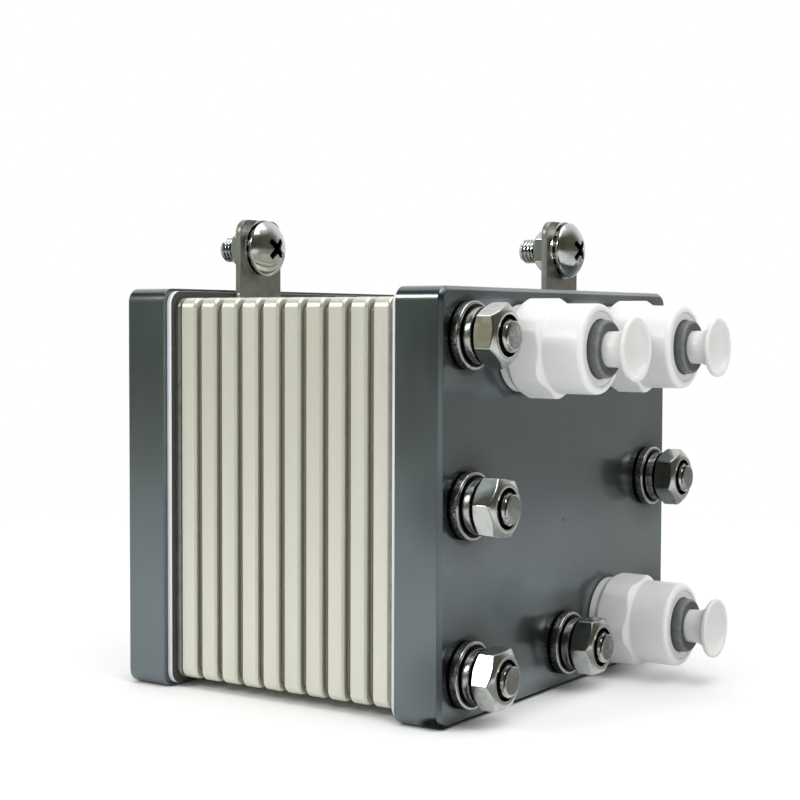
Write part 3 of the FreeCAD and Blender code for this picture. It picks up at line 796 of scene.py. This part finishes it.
class Nodes:
    """A node tree that is filled by calls."""

    def __init__(self, tree):
        self.tree = tree
        tree.nodes.clear()

    def node(self, kind, settings, inputs, output=0):
        """Add a node: its settings come first, then the values or links of its sockets."""
        made = self.tree.nodes.new(kind)
        for name, value in settings.items():
            setattr(made, name, value)
        for name, value in inputs.items():
            if isinstance(value, Link):
                self.tree.links.new(value.socket, made.inputs[name])
            else:
                made.inputs[name].default_value = value
        return Link(self, made.outputs[output])

    def output(self, kind, shader):
        """The node at the end of the tree, which takes the finished shader."""
        end = self.tree.nodes.new(kind)
        self.tree.links.new(shader.socket, end.inputs["Surface"])

    def vector(self, operation, first, second=(0, 0, 0), output=0):
        """A Vector Math node. Its output 0 is a vector, and its output 1 is a plain number."""
        inputs = {0: first, 1: second}
        return self.node("ShaderNodeVectorMath", {"operation": operation}, inputs, output)

    def mix(self, first, second, share):
        """One colour changing into another by a share from 0 to 1."""
        return self.node("ShaderNodeMix", {"data_type": "RGBA"}, {0: share, 6: first, 7: second}, 2)

    def ramp(self, value, start, end, low=0.0, high=1.0):
        """A smooth change from low to high while a value goes from start to end."""
        inputs = {"Value": value, "From Min": start, "From Max": end, "To Min": low, "To Max": high}
        return self.node("ShaderNodeMapRange", {"interpolation_type": "SMOOTHSTEP"}, inputs)

    def grade(self, first, second, value, start, end):
        """One colour changing into another while a value goes from start to end."""
        return self.mix(first, second, self.ramp(value, start, end))

    def band(self, value, start, end, blend):
        """1 while a value is between start and end, else 0, with a soft change inside both."""
        return self.ramp(value, start, start + blend) * self.ramp(value, end, end - blend)

    def looked_at(self):
        """1 where the camera looks, straight, through glass or by way of a mirror, else 0."""
        ways = ["Is Camera Ray", "Is Glossy Ray", "Is Transmission Ray"]
        return sum(self.node("ShaderNodeLightPath", {}, {}, way) for way in ways)


# %% [markdown]
# ## What all finishes share
#
# A finish works in millimetres on the object, because that is how the eye judges it: brush lines a
# tenth of a millimetre apart, or grit of a fifth. Noise that is stretched along one axis gives
# brushed lines, and noise with no stretch gives grit. Height goes to a Bump node and from there to
# the normal, and a little of it goes to the roughness too, because real scratches do both.

# %% The finish class
finishes = {}


class Finish(Nodes):
    """A material for one slot, with one Principled shader."""

    def __init__(self, slot):
        self.material = bpy.data.materials.new(slot + "_finish")
        self.material.use_nodes = True
        super().__init__(self.material.node_tree)
        self.place = self.node("ShaderNodeTexCoord", {}, {}, "Object")
        finishes[slot] = self.material

    def noise(self, spacing, stretch=(1, 1, 1), detail=2.0):
        """Noise from 0 to 1 whose bumps are about a spacing in mm apart, longer along an axis."""
        scale = [1 / (spacing * mm * longer) for longer in stretch]
        scaled = self.vector("MULTIPLY", self.place, scale)
        inputs = {"Vector": scaled, "Scale": 1.0, "Detail": detail}
        return self.node("ShaderNodeTexNoise", {}, inputs)

    def lathe_rings(self, spacing):
        """Noise that only changes along and out from the axis of a turned piece."""
        rings = self.node("ShaderNodeAttribute", {"attribute_name": "lathe"}, {}, "Vector")
        scaled = self.node(
            "ShaderNodeVectorMath", {"operation": "SCALE"}, {0: rings, "Scale": 1 / spacing})
        return self.node("ShaderNodeTexNoise", {}, {"Vector": scaled, "Scale": 1.0, "Detail": 2.0})

    def painted_shade(self):
        """How much painted shade a turned piece gets at a point, from 0 to 1."""
        lathe = self.node("ShaderNodeAttribute", {"attribute_name": "lathe"}, {}, "Vector")
        return self.node("ShaderNodeSeparateXYZ", {}, {"Vector": lathe}, "Z")

    def spot(self, x, y, z, full, none):
        """1 within a radius of a place, falling to 0 at another radius, all in mm."""
        away = self.vector("DISTANCE", self.place, (x * mm, y * mm, z * mm), 1)
        return self.ramp(away, full * mm, none * mm, 1.0, 0.0)

    def relief(self, height, depth, below=None):
        """A normal that follows a height, for relief of a depth in mm, on top of another normal."""
        inputs = {"Height": height, "Distance": depth * mm, "Strength": 1.0}
        if below:
            inputs["Normal"] = below
        return self.node("ShaderNodeBump", {}, inputs)

    def surface(self, **sockets):
        """The Principled shader. Socket names are written with _ for a space."""
        named = {name.replace("_", " "): value for name, value in sockets.items()}
        self.output("ShaderNodeOutputMaterial", self.node("ShaderNodeBsdfPrincipled", {}, named))


def shade(red, green, blue):
    """A colour with its fourth number."""
    return (red, green, blue, 1.0)


# %% [markdown]
# ## End plates: hard anodised aluminium
#
# The end plates are slate grey with a cool touch, satin and very slightly grainy, because the
# anodic layer grows on an etched surface. The sealed layer is clear on top, so there is a thin coat
# that catches the softbox on the rounded edges. Round each nut the plate carries painted shade, and
# a narrow ring next to each washer and each fitting is a painted shadow that is nearly black. Two
# small nicks are on the port face.

# %% End plate finish
finish = Finish("end_plate_metal")
grit = finish.noise(0.16, detail=3.0)
cloud = finish.noise(26.0)
rubbed = finish.noise(3.2, (1, 1, 6), detail=3.0)
nick_places = [(23.9, -0.7, 32.3), (23.9, 40.6, 48.5)]
nicks = sum(finish.spot(*place, 0.2, 0.45) for place in nick_places)
port_face_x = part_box("port_end_plate")[1].x / mm


def round_each(pieces, full, none):
    """A soft disc on the port face round each piece that comes out of it."""
    return sum(finish.spot(port_face_x, piece.y, piece.z, full, none) for piece in pieces)


fitting_places = {port: places("port_body_" + port)[0] for port in ports}
# Painted shadows: a nearly black ring next to each washer and each fitting, and a softer painted
# shade round each nut.
painted_contact_shadows = round_each(nut_places, 6.3, 7.4) + round_each(fitting_places.values(), 8.2, 9.0)
painted_shade_round_nuts = round_each(nut_places, 6.0, 13.0)
tone = finish.grade(shade(0.126, 0.155, 0.164), shade(0.143, 0.175, 0.184), cloud, 0.3, 0.7)
tone = finish.mix(tone, shade(0.01, 0.012, 0.014), nicks)
tone = finish.mix(tone, shade(0.02, 0.026, 0.027), painted_shade_round_nuts * 0.5)
tone = finish.mix(tone, shade(0.002, 0.0025, 0.0025), painted_contact_shadows * 0.92)
finish.surface(
    Base_Color=tone,
    Metallic=0.95,
    Roughness=finish.ramp(rubbed, 0.25, 0.75, 0.22, 0.27) + (grit - 0.5) * 0.05,
    Normal=finish.relief(nicks, -0.12, finish.relief(grit, 0.006)),
    Coat_Weight=0.6,
    Coat_Roughness=0.1,
)

# %% [markdown]
# ## Flow plates: ground metal edges
#
# The ten light bars are the ground edges of the flow plates. Grinding leaves fine upright lines,
# and each plate came from the wheel a shade warmer or cooler than its neighbour.

# %% Flow plate finish
finish = Finish("flow_plate_metal")
lines = finish.noise(0.11, (1, 1, 400), detail=3.0)
bands = finish.noise(0.9, (1, 1, 120), detail=2.0)
plate_shade = finish.noise(7.0, (1, 100, 100), detail=1.0)
tone = finish.grade(shade(0.685, 0.685, 0.60), shade(0.74, 0.74, 0.66), plate_shade, 0.3, 0.7)
tone = finish.mix(tone, shade(0.64, 0.63, 0.55), finish.ramp(bands, 0.55, 0.85) * 0.4)
finish.surface(
    Base_Color=tone,
    Metallic=0.65,
    Roughness=finish.ramp(lines, 0.25, 0.75, 0.34, 0.46),
    Normal=finish.relief(lines, 0.005),
)

# %% [markdown]
# ## Terminal plates: rolled sheet
#
# The tabs are cut from thin rolled sheet and have a duller, darker grey than the flow plates, with
# fine rolling lines that run up the tab and some stains from handling.

# %% Terminal plate finish
finish = Finish("terminal_metal")
lines = finish.noise(0.14, (1, 1, 60), detail=3.0)
stains = finish.noise(2.4, detail=4.0)
tone = finish.grade(shade(0.30, 0.305, 0.275), shade(0.22, 0.22, 0.19), stains, 0.4, 0.75)
finish.surface(
    Base_Color=tone,
    Metallic=0.9,
    Roughness=finish.ramp(lines, 0.25, 0.75, 0.36, 0.46) + (stains - 0.5) * 0.1,
    Normal=finish.relief(lines, 0.006),
)

# %% [markdown]
# ## Insulating sheets
#
# White sheet plastic with a cold tint. It is cut with a blade, so its edges are a little matt and
# carry faint lines from the cut. A thin band of each sheet's edge next to the terminal plate is
# painted dark, a painted shadow that shows as a line between the white and the metal.

# %% Insulating sheet finish
finish = Finish("insulating_sheet")
cut_lines = finish.noise(0.2, (1, 8, 8), detail=3.0)
cloud = finish.noise(14.0)
tone = finish.grade(shade(0.70, 0.72, 0.75), shade(0.77, 0.78, 0.80), cloud, 0.3, 0.7)
along_stack = finish.node("ShaderNodeSeparateXYZ", {}, {"Vector": finish.place}, "X")
# Painted shadow: a thin dark band at the edge next to each terminal plate.
rear_painted_shadow_line = finish.band(along_stack, -37.08 * mm, -36.7 * mm, 0.1 * mm)
port_painted_shadow_line = finish.band(along_stack, 13.0 * mm, 13.43 * mm, 0.1 * mm)
tone = finish.mix(tone, shade(0.06, 0.065, 0.055), rear_painted_shadow_line + port_painted_shadow_line)
finish.surface(
    Base_Color=tone,
    Roughness=finish.ramp(cut_lines, 0.2, 0.8, 0.42, 0.55),
    Normal=finish.relief(cut_lines, 0.008),
    Subsurface_Weight=0.08,
    Subsurface_Radius=(0.0012, 0.0012, 0.0012),
)

# %% [markdown]
# ## Fasteners: stainless steel
#
# Nuts, washers, bolts and screws are polished stainless steel. What makes them lively is what they
# mirror, so the finish stays simple: fine rings from the lathe, a few scratches from the spanner
# and a haze of small dents that blurs the mirror here and there. Painted shade, nearly black, sits
# where the sweeps said: in the holes and back grooves of the nuts, on the bolts inside the nuts, in
# the recess of a screw and on the washers, darkest in the grooves between them. Small pits make the
# edge of the painted shade uneven.

# %% Fastener finish
finish = Finish("fastener_steel")
rings = finish.lathe_rings(0.09)
scratches = finish.noise(0.12, (1, 14, 3), detail=3.0)
dents = finish.noise(0.7, detail=3.0)
haze = finish.noise(1.6, detail=4.0)
pits = finish.noise(0.45, detail=4.0)
painted_shade = finish.painted_shade()
unevenness = finish.ramp(painted_shade, 0.5, 0.62, 0.25, 0.9)
painted_shade_amount = finish.ramp(painted_shade + (pits - 0.5) * unevenness, 0.2, 0.85)
tone = finish.grade(shade(0.53, 0.55, 0.53), shade(0.42, 0.43, 0.41), haze, 0.45, 0.8)
# Painted shade: the colour goes nearly black where the sweeps asked for it.
tone = finish.mix(tone, shade(0.006, 0.006, 0.005), painted_shade_amount)
finish.surface(
    Base_Color=tone,
    Metallic=1.0,
    Roughness=finish.ramp(haze, 0.3, 0.8, 0.11, 0.24) + (scratches - 0.5) * 0.1 + painted_shade_amount * 0.3,
    Normal=finish.relief(rings, 0.0025, finish.relief(dents, 0.008)),
)

# %% [markdown]
# ## White mouldings
#
# The fittings, their cap bushes and the plugs are white engineering plastic. Light goes a little
# way into it and comes out again, which softens every shadow. The mould was sanded, not polished,
# so the gloss is broken by a very fine texture, and thick parts sink by a hair as they cool.

# %% White moulded finishes


def white_moulding(slot, light, dark, gloss):
    """A white moulded plastic between two shades."""
    finish = Finish(slot)
    sink = finish.noise(5.0, detail=2.0)
    sanded = finish.noise(0.12, detail=2.0)
    finish.surface(
        Base_Color=finish.grade(light, dark, sink, 0.35, 0.75),
        Roughness=finish.ramp(sanded, 0.2, 0.8, gloss, gloss + 0.1),
        Normal=finish.relief(sink, 0.03, finish.relief(sanded, 0.0015)),
        Subsurface_Weight=0.12,
        Subsurface_Radius=(0.0015, 0.0015, 0.0014),
    )


white_moulding("fitting_plastic", shade(0.805, 0.815, 0.805), shade(0.78, 0.79, 0.775), 0.3)
white_moulding("cap_plastic", shade(0.74, 0.75, 0.74), shade(0.71, 0.72, 0.705), 0.34)
white_moulding("plug_plastic", shade(0.74, 0.75, 0.735), shade(0.71, 0.72, 0.70), 0.3)

# %% [markdown]
# ## Dark mouldings and rubber
#
# The release rings are dark grey plastic with a dry shine. Their front rims are lighter, partly worn
# by the fingers that press them and partly a painted highlight on the rounded edge. Gaskets and
# seals
# are black rubber: the gaskets show their cut edges in the gaps between the flow plates, where a
# little dust catches the light.

# %% Dark finishes
finish = Finish("ring_plastic")
sanded = finish.noise(0.15, detail=3.0)
scuffs = finish.noise(0.9, (1, 2, 1), detail=3.0)
# A lighter ring on each rounded front rim: part wear, part painted highlight.
rim_wear_and_highlight = []
for port in ports:
    ring = places("release_ring_" + port)[0]
    front_rim = (ring.high.x - 0.3, ring.y, ring.z)
    rim_wear_and_highlight.append(finish.spot(*front_rim, 5.0, 5.35) - finish.spot(*front_rim, 4.5, 4.85))
tone = finish.grade(shade(0.055, 0.062, 0.062), shade(0.09, 0.098, 0.096), scuffs, 0.5, 0.8)
worn_and_highlit = sum(rim_wear_and_highlight) * finish.ramp(scuffs, 0.2, 0.6, 0.4, 0.75)
tone = finish.mix(tone, shade(0.22, 0.235, 0.23), worn_and_highlit)
finish.surface(
    Base_Color=tone,
    Roughness=finish.ramp(sanded, 0.2, 0.8, 0.36, 0.5),
    Normal=finish.relief(sanded, 0.004),
)


def rubber(slot, base, dust, amount):
    """Black rubber with some dust on it."""
    finish = Finish(slot)
    cut = finish.noise(0.35, (1, 1, 3), detail=4.0)
    flecks = finish.noise(0.5, (1, 1, 4), detail=5.0)
    finish.surface(
        Base_Color=finish.mix(base, dust, finish.ramp(flecks, 0.6, 0.78) * amount),
        Roughness=finish.ramp(cut, 0.2, 0.8, 0.55, 0.75),
        Normal=finish.relief(cut, 0.03),
    )


rubber("gasket_rubber", shade(0.10, 0.098, 0.076), shade(0.30, 0.29, 0.23), 0.6)
rubber("seal_rubber", shade(0.018, 0.018, 0.018), shade(0.08, 0.08, 0.08), 0.3)

# %% [markdown]
# ## Inside the cells
#
# What lies inside shows only when someone takes the stack apart, but it has its own look too: an
# amber membrane, felt of grey titanium fibres, black carbon paper and white sleeves.

# %% Inner finishes


def fibrous(slot, light, dark, metallic, thickness):
    """A sheet pressed from fibres of a thickness in mm."""
    finish = Finish(slot)
    across = finish.noise(thickness, (1, 12, 1.5), detail=3.0)
    upright = finish.noise(thickness, (1, 1.5, 12), detail=3.0)
    fibres = finish.node("ShaderNodeMath", {"operation": "MAXIMUM"}, {0: across, 1: upright})
    finish.surface(
        Base_Color=finish.grade(dark, light, fibres, 0.45, 0.75),
        Metallic=metallic,
        Roughness=finish.ramp(fibres, 0.4, 0.8, 0.7, 0.45),
        Normal=finish.relief(fibres, 0.03),
    )


fibrous("titanium_felt", shade(0.42, 0.41, 0.39), shade(0.10, 0.10, 0.095), 0.9, 0.08)
fibrous("carbon_paper", shade(0.07, 0.07, 0.07), shade(0.015, 0.015, 0.015), 0.0, 0.06)

finish = Finish("membrane_film")
ripple = finish.noise(4.0)
finish.surface(
    Base_Color=finish.grade(shade(0.28, 0.21, 0.11), shade(0.20, 0.145, 0.07), ripple, 0.3, 0.7),
    Roughness=finish.ramp(ripple, 0.3, 0.7, 0.25, 0.4),
    Normal=finish.relief(ripple, 0.01),
)

finish = Finish("sleeve_plastic")
drawn = finish.noise(0.3, (40, 1, 1))
finish.surface(
    Base_Color=finish.grade(shade(0.76, 0.755, 0.72), shade(0.70, 0.695, 0.66), drawn, 0.3, 0.7),
    Roughness=finish.ramp(drawn, 0.2, 0.8, 0.4, 0.55),
    Normal=finish.relief(drawn, 0.004),
)

# %% [markdown]
# ## Give out the finishes
#
# A piece takes the finish of its slot. The nodes of the frame that stay as they are get theirs by
# the slot that the record names.

# %% Give each object its finish
for piece in bpy.data.objects:
    if "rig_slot" in piece:
        piece.data.materials.clear()
        piece.data.materials.append(finishes[piece["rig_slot"]])
for part in frame["record"]["subparts"]:
    for holder in frame["nodes"][part["node"]].material_slots:
        holder.material = finishes[part["material_slot"]]
print(len(finishes), "finishes")

# %% [markdown]
# ## Floor
#
# The object stands on a white table that has no end. Close to its feet the floor is an ordinary
# white surface, so it takes the shadow, and so it does under the low fitting. Further out it turns
# into plain white light, but only for the camera and for mirrors, so that the edge of the table
# can't be seen and nothing is overlit.

# %% Floor disc
floor_mesh = bmesh.new()
bmesh.ops.create_circle(floor_mesh, cap_ends=True, segments=96, radius=8.0)
floor_data = bpy.data.meshes.new("floor")
floor_mesh.to_mesh(floor_data)
floor_mesh.free()
floor = bpy.data.objects.new("floor", floor_data)
bpy.context.scene.collection.objects.link(floor)
floor.location.z = -0.0001

# %% Where the floor turns into light
finish = Finish("floor")
foot_low, foot_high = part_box("rear_end_plate")[0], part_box("port_end_plate")[1]
foot_middle = ((foot_low.x + foot_high.x) / 2, (foot_low.y + foot_high.y) / 2, 0)
foot_half = ((foot_high.x - foot_low.x) / 2, (foot_high.y - foot_low.y) / 2, 1)
outward = finish.vector("ABSOLUTE", finish.vector("SUBTRACT", finish.place, foot_middle))
outward = finish.vector("MAXIMUM", finish.vector("SUBTRACT", outward, foot_half), (0, 0, 0))
from_foot = finish.vector("LENGTH", outward, output=1)
from_middle = finish.vector("LENGTH", finish.place, output=1)
lifted = finish.ramp(from_foot, 0.0005, 0.010) * 0.62 + finish.ramp(from_middle, 0.1, 0.3) * 0.38
low_port = fitting_places["far_bottom"]
under_port = finish.spot(low_port.high.x + 6, low_port.y, 0, 8, 30)
plain_light = lifted * (1 - under_port * 0.8) * finish.looked_at()

# %% [markdown]
# ## What mirrors see of the floor
#
# Mirrors get grey areas as well: painted reflections of a darker room far out on the room's side
# and at the back, and a painted shadow in front of the port face. They give the satin plates the
# darker tones that they have in a real room. A dark line at the foot of the port plate, a painted
# shadow for mirrors only, draws its lower edge.

# %% Floor finish
mirrors = finish.node("ShaderNodeLightPath", {}, {}, "Is Glossy Ray")
toward_room = finish.vector("DOT_PRODUCT", finish.place, (-0.525, -0.851, 0), 1)
toward_back = finish.vector("DOT_PRODUCT", finish.place, (0.525, 0.851, 0), 1)
along_stack = finish.node("ShaderNodeSeparateXYZ", {}, {"Vector": finish.place}, "X")
room_side = finish.ramp(toward_room, 0.3, 0.72)
back_side = finish.ramp(toward_back, 0.12, 0.42)
# Painted shadows for mirrors only: a grey area in front of the port face and a dark line at the foot
# of the port plate.
port_face_painted_shadow = finish.ramp(along_stack, 0.034, 0.042) * finish.ramp(along_stack, 0.16, 0.05)
plate_foot_painted_shadow = finish.ramp(along_stack, 0.018, 0.020) * finish.ramp(along_stack, 0.0252, 0.0244)
paper = {"Color": shade(0.95, 0.95, 0.95), "Normal": finish.relief(finish.noise(2.0), 0.01)}
table = finish.node("ShaderNodeBsdfDiffuse", {}, paper)
for share, light in [
    (plain_light, shade(1, 1, 1)),
    (room_side * mirrors, shade(0.24, 0.225, 0.15)),
    (back_side * mirrors, shade(0.38, 0.38, 0.37)),
    (port_face_painted_shadow * mirrors, shade(0.38, 0.38, 0.37)),
    (plate_foot_painted_shadow * mirrors, shade(0.03, 0.03, 0.03)),
]:
    glow = finish.node("ShaderNodeEmission", {}, {"Color": light, "Strength": 1.0})
    table = finish.node("ShaderNodeMixShader", {}, {0: share, 1: table, 2: glow})
finish.output("ShaderNodeOutputMaterial", table)
floor.data.materials.append(finishes["floor"])

# %% [markdown]
# ## Studio
#
# Polished steel shows its surroundings more than itself, so the room matters as much as the lamps.
# Mirrors see a white room with three darker walls: one on the left that is cool at the horizon,
# then tan and then dark, a brown one on the right, and a dark one behind the camera. Each face of a
# nut catches another wall, which is what makes it read as steel. Matt surfaces see a pale grey room
# that gets lighter upwards, so that the walls give no coloured light. The camera sees plain white.

# %% World


def toward(x, y, z):
    """A direction of length 1."""
    return Vector((x, y, z)).normalized()[:]


world = bpy.data.worlds.new("studio")
bpy.context.scene.world = world
world.use_nodes = True
room = Nodes(world.node_tree)
sight = room.node("ShaderNodeTexCoord", {}, {}, "Generated")


def facing(direction):
    """How much a line of sight points in a direction, from -1 to 1."""
    return room.vector("DOT_PRODUCT", sight, direction, 1)


height = facing((0, 0, 1))
left_wall = room.ramp(facing(toward(-0.45, -1, 0.3)), 0.34, 0.62)
right_wall = room.ramp(facing(toward(1, 0.05, 0)), 0.15, 0.78) * room.ramp(height, 0.86, 0.6)
camera_wall = room.ramp(facing(toward(0.5, -1, 0.4)), 0.4, 0.82)
tan = room.grade(shade(0.30, 0.36, 0.31), shade(0.52, 0.47, 0.30), height, 0.08, 0.18)
tan = room.grade(tan, shade(0.07, 0.07, 0.055), height, 0.24, 0.48)
mirrored = room.mix(shade(1, 1, 1), tan, left_wall)
mirrored = room.mix(mirrored, shade(0.12, 0.105, 0.08), right_wall)
mirrored = room.mix(mirrored, shade(0.07, 0.065, 0.05), camera_wall)
soft = room.grade(shade(0.62, 0.62, 0.62), shade(0.93, 0.93, 0.93), height, 0.12, 0.7)
soft = room.mix(soft, shade(0.52, 0.52, 0.51), left_wall)
walls = room.mix(soft, mirrored, room.looked_at())
by_camera = room.node("ShaderNodeLightPath", {}, {}, "Is Camera Ray")
seen = room.mix(walls, shade(1, 1, 1), by_camera)
backdrop = room.node("ShaderNodeBackground", {}, {"Color": seen, "Strength": 1.0})
room.output("ShaderNodeOutputWorld", backdrop)

# %% [markdown]
# ## Lamps
#
# One large soft lamp hangs above, so the tops are bright and the shadow lies close to the object. A
# small softbox stands high on the left: it is the white face of the lowest nut and the glint on the
# round edges. A third lamp fills in the port side from the upper right.

# %% Lamps


lamp_target = Vector((0, 0, 0.03))


def add_lamp(name, location, size, power):
    """A square area lamp that points at the middle of the object."""
    lamp = bpy.data.objects.new(name, bpy.data.lights.new(name, "AREA"))
    lamp.data.shape = "SQUARE"
    lamp.data.size = size
    lamp.data.energy = power
    lamp.location = location
    lamp.rotation_euler = (lamp_target - Vector(location)).to_track_quat("-Z", "Y").to_euler()
    bpy.context.scene.collection.objects.link(lamp)


add_lamp("softbox", (-0.42, -0.648, 0.489), size=0.2, power=2.2)
add_lamp("overhead_lamp", (0.1, 0.0, 1.0), size=0.9, power=3.4)
add_lamp("right_fill", (0.45, -0.25, 1.0), size=0.5, power=2.2)

# %% [markdown]
# ## Camera
#
# The camera stands low, a little to the right of the object's corner, with a long lens, as it did
# for the photo. Its turn, its tilt and its distance were fitted to the edges of the two end plates.

# %% Camera
camera_place = Vector((0.1735, -0.2813, 0.0696))
camera_turn = math.radians(-33.69)
camera_tilt = math.radians(2.65)
camera_roll = math.radians(0.19)
camera_lens = 74.9

level_right = Vector((math.cos(camera_turn), -math.sin(camera_turn), 0))
forward = Vector((
    math.cos(camera_tilt) * math.sin(camera_turn),
    math.cos(camera_tilt) * math.cos(camera_turn),
    -math.sin(camera_tilt),
))
level_up = level_right.cross(forward)
camera_right = math.cos(camera_roll) * level_right + math.sin(camera_roll) * level_up
camera_up = math.cos(camera_roll) * level_up - math.sin(camera_roll) * level_right

camera = bpy.data.objects.new("portrait_camera", bpy.data.cameras.new("portrait_camera"))
camera.data.lens = camera_lens
camera.data.sensor_width = 36.0
camera.data.clip_start = 0.01
axes = Matrix((camera_right, camera_up, -forward)).transposed().to_4x4()
camera.matrix_world = Matrix.Translation(camera_place) @ axes
bpy.context.scene.collection.objects.link(camera)
bpy.context.scene.camera = camera
bpy.context.scene.view_settings.view_transform = "Standard"
print("camera", round((camera_place - Vector((0, 0, 0.04))).length, 3), "m away")
